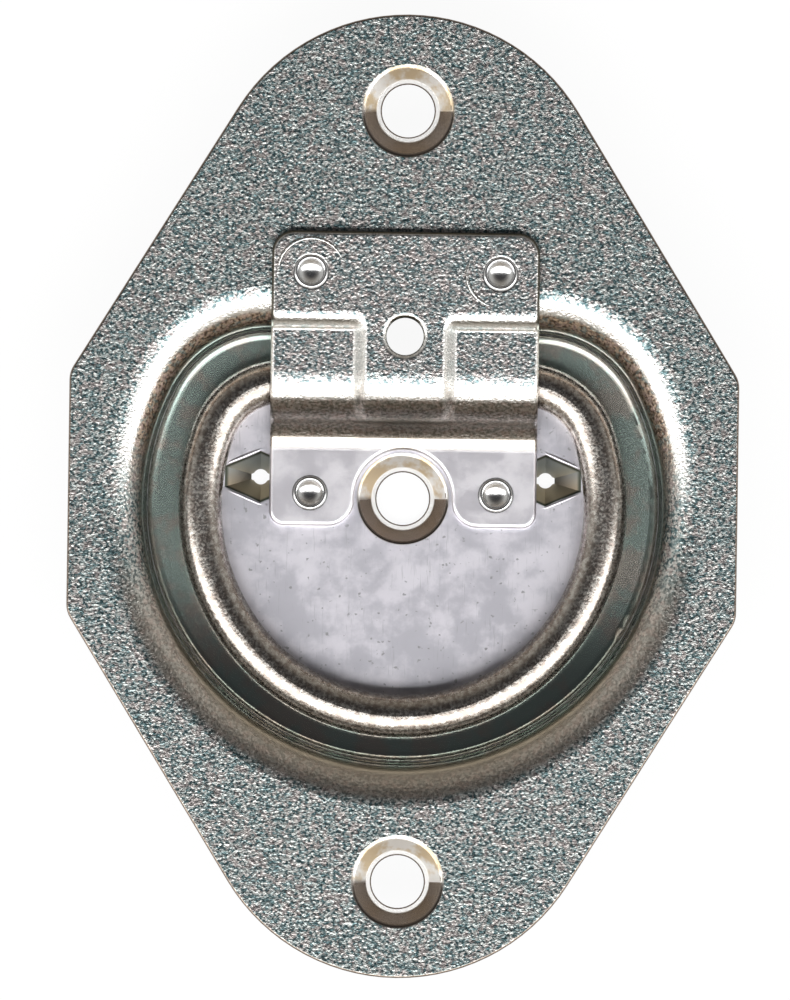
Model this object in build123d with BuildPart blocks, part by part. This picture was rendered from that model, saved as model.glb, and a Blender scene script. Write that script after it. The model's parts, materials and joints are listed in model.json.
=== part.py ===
# Recessed tie-down anchor: a pressed pan let into a floor, with a D-ring that lies flush in its dish.
# Millimetres. The origin is midway between the flange screws, on the flange's underside.
# +X is across the flange, +Y is along it towards the bracket, and +Z is out of the floor.
from build123d import *
import os
from math import acos, atan2, cos, degrees, hypot, radians, sin, sqrt, tan

os.makedirs("parts", exist_ok=True)

# Ring
wire_radius = 3.7             # round wire
ring_corner_radius = 12.8     # centreline, between the bar and a side
ring_end_tighter = 0.8        # the end arc's radius is this much less than the half width
ring_side_flatter = 2.4       # a side arc's radius is this much more than the half width
ring_floor_gap = 0.3          # under the wire as it lies in the dish
ring_side_gap = 5.95          # from the wire to the dish's wall at each side
ring_end_gap = 4.65           # from the wire to the dish's wall at the far end
bar_y = 19.35                 # centreline of the straight bar, the hinge axis

# Pan sheet and dish, radii on the upper face
sheet = 3.2
edge_round = 0.4              # rolled upper edge of the blank
dish_radius = 44.2            # upright wall
dish_centre_y = -1.7
dish_corner_radius = 18.7
rim_radius = 7.0              # rolled rim between flange and wall
wall_height = 3.0             # upright part between the rim and the bend to the floor
bar_back_gap = 5.45           # from the bar to the straight wall behind it

# Flange
flange_margin = 5.8           # flat beside the rim, at the widest place
flange_side = 40.8            # straight side, before its corners are rounded
flange_tip_radius = 34.0
flange_corner_radius = 4.5

# Countersunk screw holes
screw_hole_radius = 4.5
countersink_seat = 0.8        # width of the narrow flat round the hole
countersink_depth = 2.2       # depth and width of the 45 degree cone above that flat
countersink_round = 0.8       # rolled upper edge
screw_land = 5.2              # flat between the rim and the countersink
screw_to_tip = 16.4           # from a flange screw to the flange's tip
floor_screw_y = -0.4

# Keeper bracket
bracket_sheet = 2.7
bracket_past_bar = 2.5        # beyond each end of the straight bar
pocket_depth = 2.7            # a side lobe lies this far below the pad and the middle strip
pocket_bar_gap = 1.75         # from a lobe down to the bar
joggle_inner_radius = 0.2     # step from the pad down to a lobe, under the convex side
joggle_foot_radius = 0.6      # the same step, over the concave side
joggle_ahead = 0.5            # the step ends this far ahead of the dish's straight wall
pad_length = 13.6             # flat welded to the flange
tab_length = 13.0             # flat welded to the dish floor
front_setback = 1.65          # the front bend starts this far behind the bar
front_turn = 70.7             # steepest slope of a lobe's front bend, degrees
front_convex_share = 0.63     # of the front bend's run
strip_half_width = 6.3        # middle strip, about level with the pad
strip_flank = 2.7             # plan width of the slope beside the strip
flank_sections = 7            # sections that shape that slope
strip_dip = 0.04              # the middle strip lies this far below the pad
pad_corner_radius = 3.8
tab_outer_corner_radius = 2.5
tab_inner_corner_radius = 4.5
tab_end_flat = 0.5            # least straight end left between a tab's two corners
arch_gap = 0.8                # between the floor countersink and the arch cut round it
bracket_round = 0.8           # rolled upper edge
spy_hole_radius = 3.15
spy_hole_behind_bar = 7.85
spy_hole_round = 0.9
pan_opening_margin = 0.6      # the pan's opening is this much larger than the hole above it

# Projection welds
pad_weld_inset_x = 6.7        # from the bracket's side
pad_weld_inset_y = 7.0        # from the pad's end
tab_weld_outwards = 0.3       # from the middle of the tab's width
tab_weld_inset_y = 5.7        # from the tab's end
weld_dimple_radius = 2.1
weld_dimple_depth = 0.9
weld_lip_radius = 2.5         # middle of the raised lip
weld_lip_wire = 0.4
weld_lip_height = 0.25

# Pierced depressions in the dish floor
pierce_past_bracket = 1.5     # centre, beyond the bracket's side
pierce_y = 3.0
pierce_half_length = 6.3
pierce_half_width = 4.5
pierce_end_half_width = 1.8
pierce_hole_radius = 1.3
pierce_foot_scale = 0.25      # size of the depression's foot against its mouth

# Distance or share that counts as none when edges are chosen
touch = 0.001

# Levels that the pieces share
flange_face = sheet
lobe_under = flange_face - pocket_depth
bar_z = lobe_under - pocket_bar_gap - wire_radius
floor_face = bar_z - wire_radius - ring_floor_gap
floor_under = floor_face - sheet
dish_depth = flange_face - floor_face
floor_bend_radius = dish_depth - rim_radius - wall_height

# Dish and flange outlines
countersink_radius = screw_hole_radius + countersink_seat + countersink_depth
dish_flat_y = bar_y + wire_radius + bar_back_gap
dish_end_y = dish_centre_y - dish_radius
screw_y = rim_radius + screw_land + countersink_radius - dish_end_y
flange_half_width = dish_radius + rim_radius + flange_margin
tip_centre_y = screw_y + screw_to_tip - flange_tip_radius

# Ring centreline: a bar, two corners, two flat side arcs and one end arc, all tangent
ring_half_width = dish_radius - ring_side_gap - wire_radius
ring_end_y = dish_end_y + ring_end_gap + wire_radius
ring_end_radius = ring_half_width - ring_end_tighter
ring_side_radius = ring_half_width + ring_side_flatter
end_centre_y = ring_end_y + ring_end_radius
side_centre_x = ring_half_width - ring_side_radius
side_centre_y = end_centre_y + sqrt((ring_side_radius - ring_end_radius) ** 2 - side_centre_x ** 2)
corner_centre_y = bar_y - ring_corner_radius
corner_reach = ring_side_radius - ring_corner_radius
bar_half_length = side_centre_x + sqrt(corner_reach ** 2 - (corner_centre_y - side_centre_y) ** 2)
side_angle = degrees(atan2(corner_centre_y - side_centre_y, bar_half_length - side_centre_x))
end_angle = degrees(atan2(end_centre_y - side_centre_y, -side_centre_x))

# Bracket places
bracket_half_width = bar_half_length + bracket_past_bar
joggle_radii = bracket_sheet + joggle_inner_radius + joggle_foot_radius
joggle_convex_share = (bracket_sheet + joggle_inner_radius) / joggle_radii
joggle_run = joggle_radii * sin(acos(1 - pocket_depth / joggle_radii))
joggle_y = dish_flat_y - joggle_ahead + joggle_run
pad_end_y = joggle_y + pad_length
front_y = bar_y + front_setback
front_drop = lobe_under - floor_face
front_run = front_drop / tan(radians(front_turn) / 2)
tab_y = front_y - front_run
tab_end_y = tab_y - tab_length
arch_radius = countersink_radius + arch_gap
tab_width = bracket_half_width - arch_radius
tab_inner_corner = min(tab_inner_corner_radius, tab_width - tab_outer_corner_radius - tab_end_flat)
spy_hole_y = bar_y + spy_hole_behind_bar
bracket_top = flange_face + bracket_sheet
tab_top = floor_face + bracket_sheet
weld_ball_radius = (weld_dimple_radius ** 2 + weld_dimple_depth ** 2) / (2 * weld_dimple_depth)


def flange_outline():
    """Rounded hexagon: two tip circles and a middle block, joined by tangent flanks."""
    with BuildSketch(Plane.XY) as outline:
        with Locations((0, tip_centre_y), (0, -tip_centre_y)):
            Circle(flange_tip_radius)
        Rectangle(2 * flange_half_width, flange_side)
        make_hull()
        corners = outline.vertices().filter_by(lambda v: abs(v.X) > flange_half_width - touch)
        fillet(corners, flange_corner_radius)
    return outline.sketch


def dish_outline(height, growth):
    """D shape of the dish's wall, moved outwards by growth."""
    with BuildSketch(Plane.XY.offset(height)) as outline:
        with Locations((0, dish_centre_y)):
            Circle(dish_radius + growth)
        with Locations((0, dish_flat_y + growth)):
            Rectangle(4 * dish_radius, 2 * dish_radius, align=(Align.CENTER, Align.MIN), mode=Mode.SUBTRACT)
        fillet(outline.vertices(), dish_corner_radius + growth)
    return outline.sketch


def level_face(builder, height):
    """The level face at this height."""
    return builder.faces().filter_by(Plane.XY).filter_by_position(Axis.Z, height - touch, height + touch)[0]


def is_countersink_rim(edge):
    """Whether an edge is the upper circle of a countersink."""
    return edge.geom_type == GeomType.CIRCLE and abs(edge.radius - countersink_radius) < touch


def pierced_outline(height, side, scale):
    """Blunt diamond of one pierced depression."""
    long_end = scale * pierce_half_length
    end_width = scale * pierce_end_half_width
    middle_width = scale * pierce_half_width
    centre = (side * (bracket_half_width + pierce_past_bracket), pierce_y)
    with BuildSketch(Plane.XY.offset(height)) as outline:
        with Locations(centre):
            Polygon(
                (0, middle_width), (-long_end, end_width), (-long_end, -end_width),
                (0, -middle_width), (long_end, -end_width), (long_end, end_width), align=None)
    return outline.sketch


def step_points(start, run, drop, convex_share, depth):
    """Points on a smooth step down of a sheet, in the face that lies depth below its upper face."""
    turn = 2 * atan2(drop, run)
    radii = run / sin(turn)
    convex = convex_share * radii - depth
    concave = (1 - convex_share) * radii + depth
    start_y, top_z = start[0], start[1] - depth
    crest = [(start_y - convex * sin(a), top_z - convex * (1 - cos(a))) for a in (0, turn / 2, turn)]
    end_y, end_z = start_y - run, top_z - drop
    foot = [(end_y + concave * sin(a), end_z + concave * (1 - cos(a))) for a in (turn / 2, 0)]
    return crest + foot


def bracket_face_points(lift, depth):
    """Points along the bracket's upper or lower face, where its lobe is raised by lift."""
    joggle = step_points((joggle_y, bracket_top), joggle_run, pocket_depth - lift, joggle_convex_share, depth)
    front_top = (front_y, lobe_under + bracket_sheet + lift)
    front = step_points(front_top, front_run, front_drop + lift, front_convex_share, depth)
    return [(pad_end_y, bracket_top - depth), *joggle, *front, (tab_end_y, tab_top - depth)]


def bracket_section(x, lift):
    """Section of the bracket at x, with its lobe raised by lift."""
    with BuildSketch(Plane.YZ.offset(x)) as section:
        with BuildLine():
            for depth in (0, bracket_sheet):
                points = bracket_face_points(lift, depth)
                Line(points[0], points[1])
                ThreePointArc(points[1], points[2], points[3])
                ThreePointArc(points[3], points[4], points[5])
                Line(points[5], points[6])
                ThreePointArc(points[6], points[7], points[8])
                ThreePointArc(points[8], points[9], points[10])
                Line(points[10], points[11])
            Line((pad_end_y, bracket_top), (pad_end_y, flange_face))
            Line((tab_end_y, tab_top), (tab_end_y, floor_face))
        make_face()
    return section.sketch


def upright_edges(builder, reach):
    """Upright edges that lie reach from the middle, on either side, sorted from front to back."""
    uprights = builder.edges().filter_by(Axis.Z)
    return uprights.filter_by(lambda e: abs(abs(e.center().X) - reach) < touch).sort_by(Axis.Y)


def upper_rim(builder, thickness):
    """Upper edges of a sheet's cut faces: each has half the thickness of cut face below it."""
    rim = ShapeList()
    for face in builder.faces().filter_by(lambda f: abs(f.normal_at().Z) < touch):
        for edge in face.edges():
            below = edge @ 0.5 - Vector(0, 0, thickness / 2)
            if abs((edge % 0.5).Z) < 1 - touch and face.distance_to(below) < touch:
                rim.append(edge)
    return rim


def is_in_spy_hole(edge):
    """Whether an edge lies round the bracket's hole."""
    middle = edge @ 0.5
    return abs(hypot(middle.X, middle.Y - spy_hole_y) - spy_hole_radius) < touch


with BuildPart() as pan:
    extrude(flange_outline(), amount=sheet)
    fillet(level_face(pan, flange_face).edges(), edge_round)

    # Outside of the dish, with its bends
    extrude(dish_outline(0, sheet), amount=floor_under)
    fillet(level_face(pan, floor_under).edges(), floor_bend_radius + sheet)
    fillet(level_face(pan, 0).inner_wires()[0].edges(), rim_radius - sheet)

    # Inside of the dish
    extrude(dish_outline(floor_face, 0), amount=dish_depth, mode=Mode.SUBTRACT)
    fillet(level_face(pan, floor_face).edges(), floor_bend_radius)
    fillet(level_face(pan, flange_face).inner_wires()[0].edges(), rim_radius)

    # Screw holes
    for hole_y, hole_face in ((screw_y, flange_face), (-screw_y, flange_face), (floor_screw_y, floor_face)):
        with BuildSketch(Plane((0, hole_y, hole_face), x_dir=(1, 0, 0), z_dir=(0, -1, 0))):
            Polygon(
                (0, 0), (countersink_radius, 0), (countersink_radius - countersink_depth, -countersink_depth),
                (screw_hole_radius, -countersink_depth), (screw_hole_radius, -sheet), (0, -sheet), align=None)
        revolve(axis=Axis((0, hole_y, hole_face), (0, 0, 1)), mode=Mode.SUBTRACT)
    fillet(pan.edges().filter_by(is_countersink_rim), countersink_round)

    # Opening behind the bracket's hole
    with Locations((0, spy_hole_y, floor_under)):
        Cylinder(
            spy_hole_radius + pan_opening_margin, dish_depth + sheet,
            align=(Align.CENTER, Align.CENTER, Align.MIN), mode=Mode.SUBTRACT)

    # Pierced depressions beside the tabs
    for side in (-1, 1):
        mouth = pierced_outline(floor_face, side, 1)
        foot = pierced_outline(floor_under, side, pierce_foot_scale)
        loft([mouth.face(), foot.face()], ruled=True, mode=Mode.SUBTRACT)
        with Locations((side * (bracket_half_width + pierce_past_bracket), pierce_y, floor_under)):
            Cylinder(pierce_hole_radius, 2 * sheet, mode=Mode.SUBTRACT)
pan.part.label = "pan"

with BuildPart() as keeper_bracket:
    # Lobes, middle strip and the slopes between them
    strip_lift = pocket_depth - strip_dip
    lobe_width = bracket_half_width - strip_half_width - strip_flank
    for side in (-1, 1):
        lobe_x = side * (strip_half_width + strip_flank)
        extrude(bracket_section(lobe_x, 0), amount=side * lobe_width)
        slope = []
        for index in range(flank_sections):
            share = index / (flank_sections - 1)
            lift = strip_lift * (1 - share * share * (3 - 2 * share))
            slope.append(bracket_section(side * (strip_half_width + share * strip_flank), lift).face())
        loft(slope)
    extrude(bracket_section(0, strip_lift), amount=strip_half_width, both=True)

    # Arch round the floor screw
    with BuildSketch(Plane.XY.offset(floor_face)):
        with Locations((0, floor_screw_y)):
            Circle(arch_radius)
            Rectangle(2 * arch_radius, 2 * tab_length, align=(Align.CENTER, Align.MAX))
    extrude(amount=dish_depth, mode=Mode.SUBTRACT)

    # Plan corners
    fillet(upright_edges(keeper_bracket, bracket_half_width)[-2:], pad_corner_radius)
    fillet(upright_edges(keeper_bracket, bracket_half_width)[:2], tab_outer_corner_radius)
    fillet(upright_edges(keeper_bracket, arch_radius)[:2], tab_inner_corner)

    # Rolled upper edges, and the hole behind the middle of the bar
    fillet(upper_rim(keeper_bracket, bracket_sheet), bracket_round)
    with Locations((0, spy_hole_y, flange_face)):
        Cylinder(spy_hole_radius, 2 * bracket_sheet, mode=Mode.SUBTRACT)
    fillet(upper_rim(keeper_bracket, bracket_sheet).filter_by(is_in_spy_hole), spy_hole_round)

    # Projection welds: a raised lip round a dimple
    pad_weld = (bracket_half_width - pad_weld_inset_x, pad_end_y - pad_weld_inset_y, bracket_top)
    tab_weld = (arch_radius + tab_width / 2 + tab_weld_outwards, tab_end_y + tab_weld_inset_y, tab_top)
    for weld_x, weld_y, weld_z in (pad_weld, tab_weld):
        with Locations((-weld_x, weld_y, weld_z), (weld_x, weld_y, weld_z)):
            with Locations((0, 0, weld_lip_height - weld_lip_wire)):
                Torus(weld_lip_radius, weld_lip_wire)
            with Locations((0, 0, weld_ball_radius - weld_dimple_depth)):
                Sphere(weld_ball_radius, mode=Mode.SUBTRACT)
keeper_bracket.part.label = "keeper_bracket"

with BuildPart() as ring:
    with BuildLine(Plane.XY.offset(bar_z)):
        Line((0, bar_y), (bar_half_length, bar_y))
        CenterArc((bar_half_length, corner_centre_y), ring_corner_radius, 90, side_angle - 90)
        CenterArc((side_centre_x, side_centre_y), ring_side_radius, side_angle, end_angle - side_angle)
        CenterArc((0, end_centre_y), ring_end_radius, end_angle, -90 - end_angle)
        mirror(about=Plane.YZ)
    with BuildSketch(Plane((0, bar_y, bar_z), z_dir=(1, 0, 0))):
        Circle(wire_radius)
    sweep()
ring.part.label = "ring"

for piece in (pan, keeper_bracket, ring):
    export_step(piece.part, f"parts/{piece.part.label}.step")
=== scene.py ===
"""Looks of the recessed tie-down anchor.

A zinc plated pan, its welded keeper bracket and the ring in its dish.
"""

import json
import math

import bpy
from mathutils import Matrix, Vector


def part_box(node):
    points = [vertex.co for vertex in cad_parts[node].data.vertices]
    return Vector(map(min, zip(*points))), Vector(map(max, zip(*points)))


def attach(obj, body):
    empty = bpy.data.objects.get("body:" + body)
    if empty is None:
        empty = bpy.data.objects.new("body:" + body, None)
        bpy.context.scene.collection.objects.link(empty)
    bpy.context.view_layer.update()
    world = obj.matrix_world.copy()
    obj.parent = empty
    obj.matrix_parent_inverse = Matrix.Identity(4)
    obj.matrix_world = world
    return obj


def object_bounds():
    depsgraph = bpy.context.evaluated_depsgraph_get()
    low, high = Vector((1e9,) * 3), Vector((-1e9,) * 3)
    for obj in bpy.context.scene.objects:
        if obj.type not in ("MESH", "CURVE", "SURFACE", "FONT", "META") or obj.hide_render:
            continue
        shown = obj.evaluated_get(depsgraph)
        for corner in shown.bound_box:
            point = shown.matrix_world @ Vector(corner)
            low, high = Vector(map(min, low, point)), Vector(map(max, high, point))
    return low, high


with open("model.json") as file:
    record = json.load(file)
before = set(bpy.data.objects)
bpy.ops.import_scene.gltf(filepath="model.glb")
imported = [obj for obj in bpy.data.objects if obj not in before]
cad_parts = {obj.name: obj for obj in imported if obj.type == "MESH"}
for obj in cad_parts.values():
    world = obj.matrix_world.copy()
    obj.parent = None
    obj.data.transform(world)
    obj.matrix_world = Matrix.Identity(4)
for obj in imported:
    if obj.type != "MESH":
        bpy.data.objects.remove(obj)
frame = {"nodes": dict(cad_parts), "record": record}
cad_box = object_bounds()

# Places on the object, in metres
flange_face = 0.0032
floor_face = -0.00895
floor_screw_y = -0.0004
cone_reach = 0.0077           # radius of a countersink, with its rolled edge
cone_blur = 0.0003            # width over which its finish gives way to the plating
seat_reach = 0.0053           # radius of the narrow flat round a screw hole
seat_blur = 0.0002
brink_reach = 0.00465         # radius of the dark line painted at the hole's edge as shade
brink_blur = 0.0001
ring_centre_y = -0.0038       # of the ring's far end, in plan
ring_reach = 0.0342           # radius of its centreline there
bar_y = 0.01935               # centreline of the ring's straight bar
dish_centre_y = -0.0017
rim_reach = 0.0512            # radius of the rim's outer edge
finish_blur = 0.0005          # width over which one finish gives way to another
plating_relief = 0.00009      # depth of the coarse plating's grain
wire_relief = 0.00003         # depth of the ring's grain
bracket_sheet = 0.0027
pierce_y = 0.0030             # middle of the pierced depressions
screw_y = frame["record"]["mounts"][0]["dims"]["spacing_y_mm"] / 2000
bracket_low, bracket_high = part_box("keeper_bracket")
weld_reach = 0.0029           # radius of a weld's raised lip
weld_blur = 0.0003
pad_weld = (bracket_high[0] - 0.0067, bracket_high[1] - 0.0070)
tab_weld = (0.01585, bracket_low[1] + 0.0057)

# The beads, in metres where not said otherwise
bead_radius = 0.00042
bead_sink = 0.00025           # of a bead's centreline below its face
bead_sides = 8
bead_lead = 0.25              # steps by which a bead's end is past its zero width
bead_taper = 0.3              # power of the half sine that a bead's width follows
burr_gap = 0.0004             # between a burr's points
pierce_lip = ((0.0234, 0.0043), (0.0243, 0.0047), (0.0304, 0.0021))  # corners of a burr, from pierce_y
tip_reach = 0.0057            # radius of the ridges that the welding tip left
ridge_turn = 6                # degrees between a ridge's points

# The photo's frame
image_height = 1000           # pixels
scale = 5877                  # pixels a metre at the flange's face
image_centre = Vector((395, 500))
origin_pixel = Vector((402.8, 496.3))
camera_roll = 0.0142
camera_distance = 4.0         # above the flange's face
sensor_height = 36.0          # mm

# The stage
floor_half = 3.0
floor_clearance = 0.0002      # of the floor below the part
floor_glow = 0.93             # share of its look that shines, the rest takes the shadow
box_distance = 16.0           # of the soft box from the part
box_length = 4.7              # its length over its distance
box_energy = 11600.0
box_off_vertical = math.radians(33)
box_half_spread = math.radians(20)


def set_camera():
    """Square on to the flange, rolled as the photo is, with the photo's frame."""
    data = bpy.data.cameras.new("camera")
    data.sensor_fit = "VERTICAL"
    data.sensor_height = sensor_height
    data.lens = sensor_height * camera_distance * scale / image_height
    camera = bpy.data.objects.new("camera", data)
    bpy.context.scene.collection.objects.link(camera)
    offset = (image_centre - origin_pixel) / scale
    spot = Matrix.Rotation(camera_roll, 2) @ Vector((offset.x, -offset.y))
    place = Matrix.Translation((spot.x, spot.y, flange_face + camera_distance))
    camera.matrix_world = place @ Matrix.Rotation(camera_roll, 4, "Z")
    bpy.context.scene.camera = camera


class Graph:
    """A node tree, with short calls for the nodes that the materials use."""

    def __init__(self, tree):
        self.tree = tree
        tree.nodes.clear()

    def node(self, kind, **settings):
        made = self.tree.nodes.new(kind)
        for name, value in settings.items():
            setattr(made, name, value)
        return made

    def put(self, socket, value):
        """Links an output to a socket, or sets the socket's own value."""
        if isinstance(value, bpy.types.NodeSocket):
            self.tree.links.new(value, socket)
        else:
            socket.default_value = value

    def math(self, operation, *values):
        made = self.node("ShaderNodeMath", operation=operation)
        for socket, value in zip(made.inputs, values):
            self.put(socket, value)
        return made.outputs[0]

    def vector(self, operation, *values):
        made = self.node("ShaderNodeVectorMath", operation=operation)
        for socket, value in zip(made.inputs, values):
            self.put(socket, value)
        return made.outputs["Value" if operation == "LENGTH" else "Vector"]

    def split(self, vector):
        made = self.node("ShaderNodeSeparateXYZ")
        self.put(made.inputs[0], vector)
        return made.outputs["X"], made.outputs["Y"], made.outputs["Z"]

    def step(self, value, start, end):
        """0 at start and 1 at end, smooth between them and level beyond. Either can be the greater."""
        made = self.node("ShaderNodeMapRange", interpolation_type="SMOOTHSTEP")
        low_out, high_out = (0, 1) if start < end else (1, 0)
        self.put(made.inputs["Value"], value)
        self.put(made.inputs["From Min"], min(start, end))
        self.put(made.inputs["From Max"], max(start, end))
        self.put(made.inputs["To Min"], low_out)
        self.put(made.inputs["To Max"], high_out)
        return made.outputs["Result"]

    def within(self, distance, reach, blur):
        """1 within reach and 0 beyond reach and blur."""
        return self.step(distance, reach + blur, reach)

    def noise(self, position, grain, detail=2.0, roughness=0.5, distortion=0.0):
        """Noise whose lumps are about grain metres apart."""
        made = self.node("ShaderNodeTexNoise")
        self.put(made.inputs["Vector"], position)
        self.put(made.inputs["Scale"], 1 / grain)
        self.put(made.inputs["Detail"], detail)
        self.put(made.inputs["Roughness"], roughness)
        self.put(made.inputs["Distortion"], distortion)
        return made.outputs["Fac"]

    def mix(self, share, first, second):
        """Mix of two colours."""
        made = self.node("ShaderNodeMix", data_type="RGBA")
        self.put(made.inputs["Factor"], share)
        for name, value in (("A", first), ("B", second)):
            socket = [s for s in made.inputs if s.name == name and s.type == "RGBA"][0]
            self.put(socket, value if isinstance(value, bpy.types.NodeSocket) else (*value, 1))
        return [s for s in made.outputs if s.type == "RGBA"][0]

    def tint(self, colour, tint, where, share):
        """A colour with this share of a tint in it, where the tint lies."""
        return self.mix(self.math("MULTIPLY", where, share), colour, tint)

    def blend(self, share, first, second):
        """Mix of two numbers."""
        made = self.node("ShaderNodeMix", data_type="FLOAT")
        for socket, value in zip(made.inputs, (share, None, first, second)):
            if value is not None:
                self.put(socket, value)
        return made.outputs[0]

    def bump(self, height, depth):
        """Normal of a surface with this height, whose full range is depth metres."""
        made = self.node("ShaderNodeBump")
        self.put(made.inputs["Strength"], 1.0)
        self.put(made.inputs["Distance"], depth)
        self.put(made.inputs["Height"], height)
        return made.outputs["Normal"]


def start_material(name):
    """A new material's graph, with the position and the normal in the part's own frame."""
    material = bpy.data.materials.new(name)
    material.use_nodes = True
    g = Graph(material.node_tree)
    place = g.node("ShaderNodeTexCoord")
    return material, g, place.outputs["Object"], place.outputs["Normal"]


def end_material(g, colour, roughness, normal):
    """Bare plated metal with this colour, roughness and normal."""
    shader = g.node("ShaderNodeBsdfPrincipled")
    shader.inputs["Metallic"].default_value = 1.0
    g.put(shader.inputs["Base Color"], colour)
    g.put(shader.inputs["Roughness"], roughness)
    g.put(shader.inputs["Normal"], normal)
    output = g.node("ShaderNodeOutputMaterial")
    g.put(output.inputs["Surface"], shader.outputs[0])


def flecked(g, position, dark, light):
    """Colour of the coarse plating: small dark and light flecks, some green and some pink."""
    green, pink = (0.23, 0.34, 0.35), (0.62, 0.48, 0.45)
    tone = g.noise(position, 0.00055, detail=1.0, roughness=0.5)
    hue = g.noise(position, 0.0013, detail=2.0, roughness=0.6, distortion=0.4)
    colour = g.mix(g.step(tone, 0.36, 0.64), dark, light)
    colour = g.tint(colour, green, g.step(hue, 0.49, 0.36), share=0.45)
    return g.tint(colour, pink, g.step(hue, 0.51, 0.64), share=0.42)


def relieved(g, grain, fine, coarse):
    """Normal of the plating, with all of its grain where it is coarse and little where it is smooth."""
    smooth_share, fine_share = 0.06, 0.08
    depth = g.blend(coarse, smooth_share, 1.0)
    relief = g.math("MULTIPLY_ADD", grain, depth, g.math("MULTIPLY", fine, fine_share))
    return g.bump(relief, plating_relief)


def distance_from(g, position, x, y):
    """Distance in plan from an upright axis."""
    offset = g.vector("SUBTRACT", position, (x, y, 0))
    return g.vector("LENGTH", g.vector("MULTIPLY", offset, (1, 1, 0)))


def nearest(g, distances):
    """The least of several distances."""
    least = distances[0]
    for distance in distances[1:]:
        least = g.math("MINIMUM", least, distance)
    return least


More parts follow.
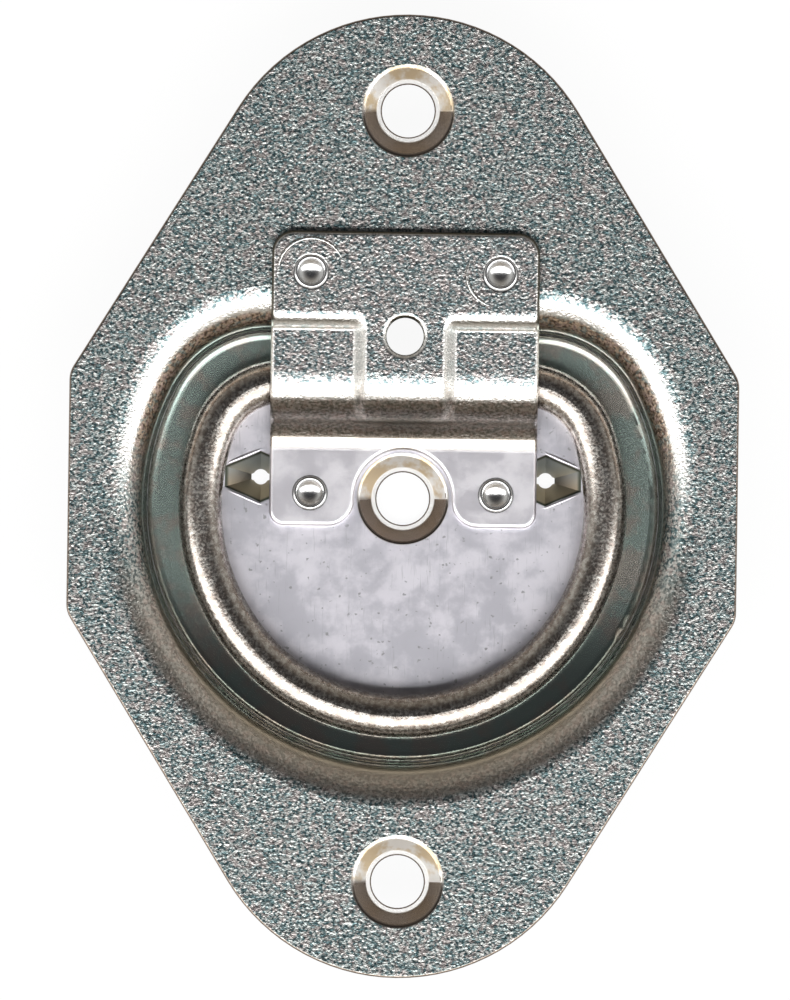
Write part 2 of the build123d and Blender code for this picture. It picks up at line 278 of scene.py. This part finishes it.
def pan_material():
    """Coarse flange, smooth drawn wall, burnished floor and turned countersinks, with painted light and
    shade on the flange's edge, the rim, the floor outside the ring, the pierced pits, the countersinks
    and the holes' edges.
    """
    material, g, position, normal = start_material("zinc_pan")
    y, z = g.split(position)[1:]
    along, up = g.split(normal)[1:]

    # Where each finish lies, and where light and shade are painted
    around = distance_from(g, position, 0, dish_centre_y)
    outside = g.step(around, rim_reach - finish_blur, rim_reach)
    # Painted shade: a dark line along the flange's rounded outer edge, where it turns away
    edge_shade = g.math("MULTIPLY", g.step(up, 0.995, 0.960), g.step(z, 0, 0.0004))
    edge_shade = g.math("MULTIPLY", edge_shade, outside)
    shore = g.blend(g.step(y, -0.040, -0.012), 0.0010, -0.0020)  # height where the plating turns smooth
    flange = g.math("MAXIMUM", g.step(g.math("SUBTRACT", z, shore), -0.0014, 0.0014), outside)
    underside = g.step(up, -0.2, -0.5)
    upper = g.math("SUBTRACT", 1, underside)
    level = g.math("MAXIMUM", up, underside)
    level_floor = g.math("MULTIPLY", upper, g.step(z, floor_face + 0.0005, floor_face + 0.0001))
    from_ring = distance_from(g, position, 0, ring_centre_y)
    within_ring = g.step(from_ring, ring_reach + finish_blur, ring_reach - finish_blur)
    before_bar = g.step(y, bar_y + finish_blur, bar_y - finish_blur)
    floor = g.math("MULTIPLY", level_floor, g.math("MULTIPLY", within_ring, before_bar))
    pit = g.math("MULTIPLY", upper, g.step(z, floor_face - 0.00005, floor_face - 0.0002))
    holes = [distance_from(g, position, 0, hole_y) for hole_y in (screw_y, -screw_y, floor_screw_y)]
    hole = g.math("ADD", nearest(g, holes), underside)
    cone = g.within(hole, cone_reach, cone_blur)
    seat = g.within(hole, seat_reach, seat_blur)
    # Painted shade: a dark line at each hole's edge
    brink_shade = g.within(hole, brink_reach, brink_blur)
    plain = g.math("SUBTRACT", 1, cone)
    coarse = g.math("MULTIPLY", g.math("MAXIMUM", flange, underside), plain)
    pit = g.math("MULTIPLY", pit, plain)

    grain = g.noise(position, 0.00050, detail=1.0, roughness=0.6)
    fine = g.noise(position, 0.00020, detail=1.0)
    cloud = g.noise(position, 0.006, detail=4.0, roughness=0.6)
    speck = g.noise(position, 0.0011, detail=2.0)
    drawn_out = g.vector("MULTIPLY", position, (1.0, 0.06, 0.06))
    scratch = g.noise(drawn_out, 0.00035, detail=2.0, roughness=0.7)

    wall_colour = g.mix(g.step(z, -0.0030, -0.0005), (0.78, 0.79, 0.79), (0.36, 0.33, 0.26))
    # Floor outside the ring and behind its bar: green and brown mottling, painted darker than the floor
    # within as painted shade
    outer_mottle_and_shade = g.mix(g.step(cloud, 0.42, 0.60), (0.44, 0.54, 0.49), (0.53, 0.50, 0.44))
    floor_colour = g.mix(g.step(cloud, 0.40, 0.62), (0.62, 0.61, 0.66), (0.76, 0.74, 0.79))
    floor_colour = g.mix(g.step(speck, 0.66, 0.72), floor_colour, (0.42, 0.42, 0.44))
    floor_colour = g.tint(floor_colour, (0.50, 0.50, 0.53), g.step(scratch, 0.60, 0.72), share=0.5)
    colour = g.mix(level_floor, wall_colour, g.mix(floor, outer_mottle_and_shade, floor_colour))
    flecks = flecked(g, position, (0.07, 0.12, 0.13), (0.68, 0.70, 0.67))
    # Painted highlight: the far side's gently sloped rim is lighter and less flecked
    far_rim_highlight = g.math("MULTIPLY", g.step(level, 0.985, 0.930), g.step(y, -0.004, 0.010))
    flecks = g.tint(flecks, (0.70, 0.68, 0.65), far_rim_highlight, share=0.8)
    # Painted shade: the far side's steep slopes are dark brown flecked
    far_slope_shade = g.math("MULTIPLY", g.step(level, 0.84, 0.74), g.step(y, -0.004, 0.012))
    flecks = g.mix(far_slope_shade, flecks, flecked(g, position, (0.10, 0.07, 0.05), (0.46, 0.36, 0.27)))
    # Painted shade: the near side's gently sloped rim is tinted brown
    near_rim_shade = g.math("MULTIPLY", g.step(level, 0.998, 0.965), g.step(y, -0.008, -0.024))
    flecks = g.tint(flecks, (0.60, 0.50, 0.42), near_rim_shade, share=0.55)
    colour = g.mix(coarse, colour, flecks)
    # Painted shade on the flange's rounded outer edge
    colour = g.mix(edge_shade, colour, (0.21, 0.17, 0.14))
    pit_colour = g.mix(g.step(y, 0.0005, 0.0060), (0.44, 0.36, 0.25), (0.34, 0.38, 0.38))
    # Painted shade: the deep part of each pierced pit is near black
    pit_depth_shade = g.step(z, floor_face - 0.0003, floor_face - 0.0007)
    colour = g.mix(pit, colour, g.mix(pit_depth_shade, (0.08, 0.09, 0.07), pit_colour))
    # Painted light and shade: the half of each countersink that faces −Y is light, the half that faces
    # +Y dark brown
    shaded_side = g.step(along, -0.06, 0.06)
    lit_half_colour = g.mix(g.step(cloud, 0.45, 0.60), (0.80, 0.78, 0.75), (0.62, 0.50, 0.34))
    colour = g.mix(cone, colour, g.mix(shaded_side, lit_half_colour, (0.24, 0.20, 0.17)))
    colour = g.mix(seat, colour, (0.88, 0.87, 0.85))
    # Painted shade: a near black line at each hole's edge
    colour = g.mix(brink_shade, colour, (0.10, 0.07, 0.05))

    outer_roughness = g.blend(g.step(y, -0.034, -0.010), 0.12, 0.27)
    floor_roughness = g.blend(g.step(cloud, 0.35, 0.65), 0.37, 0.41)
    wall_roughness = g.blend(g.step(z, -0.0040, -0.0010), 0.13, 0.30)
    roughness = g.blend(level_floor, wall_roughness, g.blend(floor, outer_roughness, floor_roughness))
    roughness = g.blend(coarse, roughness, g.blend(g.step(fine, 0.3, 0.7), 0.27, 0.36))
    roughness = g.blend(cone, roughness, g.blend(shaded_side, 0.42, 0.25))
    roughness = g.blend(seat, roughness, 0.45)

    end_material(g, colour, roughness, relieved(g, grain, fine, coarse))
    return material


def bracket_material():
    """Coarse pad, lobes and middle strip, smooth front bend, tabs and weld dimples, with painted
    highlight and shade on the bends and painted shade along the pad's far edge.
    """
    material, g, position, normal = start_material("zinc_bracket")
    y = g.split(position)[1]
    up = g.split(normal)[2]

    # Where each finish lies
    welds = [
        distance_from(g, position, side * weld_x, weld_y)
        for weld_x, weld_y in (pad_weld, tab_weld) for side in (-1, 1)]
    dimple = g.within(nearest(g, welds), weld_reach, weld_blur)
    coarse = g.math("MULTIPLY", g.step(y, 0.0098, 0.0104), g.math("SUBTRACT", 1, dimple))
    front = g.step(y, 0.0172, 0.0160)
    tab = g.step(y, 0.0085, 0.0075)

    grain = g.noise(position, 0.00048, detail=1.0, roughness=0.6)
    fine = g.noise(position, 0.00020, detail=1.0)
    cloud = g.noise(position, 0.005, detail=4.0, roughness=0.6)

    tab_colour = g.mix(g.step(cloud, 0.4, 0.62), (0.70, 0.68, 0.72), (0.80, 0.78, 0.81))
    colour = g.mix(tab, (0.62, 0.58, 0.52), tab_colour)
    flecks = flecked(g, position, (0.16, 0.21, 0.22), (0.80, 0.78, 0.75))
    flecks_kept = 0.2
    # Painted highlight: the bends away from the front are near white with few flecks
    bend_highlight = g.mix(flecks_kept, (0.90, 0.88, 0.85), flecks)
    # Painted shade: the bends on the front are near black brown
    front_bend_shade = g.mix(flecks_kept, (0.08, 0.055, 0.035), flecks)
    # Painted shade: a dark line along the pad's rounded far edge
    pad_edge_shade = g.math("MULTIPLY", g.step(up, 0.96, 0.80), g.step(y, 0.0290, 0.0300))
    flecks = g.mix(g.step(up, 0.985, 0.940), flecks, g.mix(front, bend_highlight, front_bend_shade))
    colour = g.mix(coarse, colour, g.mix(pad_edge_shade, flecks, (0.10, 0.09, 0.07)))
    colour = g.mix(dimple, colour, (0.62, 0.62, 0.62))
    roughness = g.blend(tab, 0.24, g.blend(g.step(cloud, 0.35, 0.65), 0.36, 0.41))
    roughness = g.blend(coarse, roughness, g.blend(g.step(fine, 0.3, 0.7), 0.27, 0.34))
    roughness = g.blend(dimple, roughness, 0.22)

    end_material(g, colour, roughness, relieved(g, grain, fine, coarse))
    return material


def ring_material():
    """Plated round wire, rubbed smooth, with a mottled brown tint."""
    material, g, position, _ = start_material("zinc_ring")
    cloud = g.noise(position, 0.0009, detail=3.0, roughness=0.6)
    grain = g.noise(position, 0.00045, detail=2.0)
    colour = g.mix(g.step(cloud, 0.38, 0.64), (0.30, 0.26, 0.23), (0.52, 0.49, 0.45))
    roughness = g.blend(g.step(grain, 0.35, 0.65), 0.22, 0.29)
    end_material(g, colour, roughness, g.bump(grain, wire_relief))
    return material


def bead(name, points, material):
    """A thin raised bead along a line of points on an upward face of the base."""
    corners, faces = [], []
    steps = len(points) - 1
    for at, point in enumerate(points):
        along = (points[min(at + 1, steps)] - points[max(at - 1, 0)]).normalized()
        across = Vector((0, 0, 1)).cross(along)
        turn = math.pi * (at + bead_lead) / (steps + 2 * bead_lead)
        reach = bead_radius * math.sin(turn)**bead_taper
        for side in range(bead_sides):
            angle = 2 * math.pi * side / bead_sides
            corners.append(point + reach * (math.cos(angle) * across + Vector((0, 0, math.sin(angle)))))
    for at in range(steps):
        for side in range(bead_sides):
            first, second = at * bead_sides + side, at * bead_sides + (side + 1) % bead_sides
            faces.append((first, second, second + bead_sides, first + bead_sides))
    last = steps * bead_sides
    faces.append(tuple(reversed(range(bead_sides))))
    faces.append(tuple(range(last, last + bead_sides)))
    mesh = bpy.data.meshes.new(name)
    mesh.from_pydata(corners, [], faces)
    mesh.shade_smooth()
    mesh.materials.append(material)
    piece = bpy.data.objects.new(name, mesh)
    bpy.context.scene.collection.objects.link(piece)
    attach(piece, "base")


def between(corners, gap):
    """Points about gap apart along straight lines between corners."""
    points = [corners[0]]
    for start, end in zip(corners, corners[1:]):
        count = max(1, round((end - start).length / gap))
        points += [start.lerp(end, number / count) for number in range(1, count + 1)]
    return points


def arc(centre, radius, first, last):
    """Points along an arc in plan, from first to near last in degrees."""
    turns = [math.radians(turn) for turn in range(first, last, ridge_turn)]
    return [centre + radius * Vector((math.cos(turn), math.sin(turn), 0)) for turn in turns]


def add_beads(pan, bracket):
    """The ridges that a welding tip pressed into the pad, and the burrs along the pierced mouths."""
    level = flange_face + bracket_sheet - bead_sink
    for name, side, first, last in (("left", -1, 12, 205), ("right", 1, 150, 262)):
        centre = Vector((side * pad_weld[0], pad_weld[1], level))
        bead("tip_ridge_%s" % name, arc(centre, tip_reach, first, last), bracket)
    level = floor_face - bead_sink
    for side, name in ((-1, "left"), (1, "right")):
        for end, place in ((1, "far"), (-1, "near")):
            corners = [Vector((side * x, pierce_y + end * y, level)) for x, y in pierce_lip]
            bead("pierced_burr_%s_%s" % (place, name), between(corners, burr_gap), pan)


def dress(node, material):
    """Gives a CAD node its material."""
    obj = frame["nodes"][node]
    if not obj.material_slots:
        obj.data.materials.append(material)
    for slot in obj.material_slots:
        slot.material = material


def set_floor():
    """Plain white floor under the dish: it shows white, keeps a soft shadow and is clear from below."""
    level = cad_box[0][2] - floor_clearance
    mesh = bpy.data.meshes.new("floor")
    signs = ((-1, -1), (1, -1), (1, 1), (-1, 1))
    corners = [(x * floor_half, y * floor_half, level) for x, y in signs]
    mesh.from_pydata(corners, [], [(0, 1, 2, 3)])
    floor = bpy.data.objects.new("floor", mesh)
    bpy.context.scene.collection.objects.link(floor)
    material = bpy.data.materials.new("floor_white")
    material.use_nodes = True
    g = Graph(material.node_tree)
    path = g.node("ShaderNodeLightPath")
    seen = g.math("MAXIMUM", path.outputs["Is Camera Ray"], path.outputs["Is Glossy Ray"])
    seen = g.math("MAXIMUM", seen, path.outputs["Is Transmission Ray"])
    diffuse = g.node("ShaderNodeBsdfDiffuse")
    diffuse.inputs["Color"].default_value = (0.9, 0.9, 0.9, 1)
    glow = g.node("ShaderNodeEmission")
    mixed = g.node("ShaderNodeMixShader")
    g.put(mixed.inputs[0], g.math("MULTIPLY", seen, floor_glow))
    g.put(mixed.inputs[1], diffuse.outputs[0])
    g.put(mixed.inputs[2], glow.outputs[0])
    clear = g.node("ShaderNodeBsdfTransparent")
    one_way = g.node("ShaderNodeMixShader")
    g.put(one_way.inputs[0], g.node("ShaderNodeNewGeometry").outputs["Backfacing"])
    g.put(one_way.inputs[1], mixed.outputs[0])
    g.put(one_way.inputs[2], clear.outputs[0])
    output = g.node("ShaderNodeOutputMaterial")
    g.put(output.inputs["Surface"], one_way.outputs[0])
    mesh.materials.append(material)


def set_lights():
    """One long soft box on the near side, and a room light along the horizon and dim overhead."""
    data = bpy.data.lights.new("soft_box", "AREA")
    data.shape = "RECTANGLE"
    data.size = box_length * box_distance
    data.size_y = 2 * box_distance * math.tan(box_half_spread)
    data.energy = box_energy
    box = bpy.data.objects.new("soft_box", data)
    bpy.context.scene.collection.objects.link(box)
    spot = Vector((0, -math.sin(box_off_vertical), math.cos(box_off_vertical))) * box_distance
    box.matrix_world = Matrix.Translation(spot) @ Matrix.Rotation(box_off_vertical, 4, "X")
    box.visible_camera = False

    world = bpy.data.worlds.new("room")
    bpy.context.scene.world = world
    world.use_nodes = True
    g = Graph(world.node_tree)
    x, y, z = g.split(g.node("ShaderNodeTexCoord").outputs["Generated"])
    horizon = g.mix(g.step(y, 0.4, -0.4), (0.36, 0.33, 0.29), (0.46, 0.40, 0.32))
    horizon = g.mix(g.math("MULTIPLY", x, x), horizon, (0.74, 0.74, 0.72))
    colour = g.mix(g.step(z, 0.9, 0.3), (0.045, 0.045, 0.048), horizon)
    background = g.node("ShaderNodeBackground")
    g.put(background.inputs["Color"], colour)
    output = g.node("ShaderNodeOutputWorld")
    g.put(output.inputs["Surface"], background.outputs[0])


set_camera()
set_floor()
set_lights()
bpy.context.scene.view_settings.view_transform = "Standard"
zinc_pan = pan_material()
zinc_bracket = bracket_material()
dress("pan", zinc_pan)
dress("keeper_bracket", zinc_bracket)
dress("ring", ring_material())
add_beads(zinc_pan, zinc_bracket)
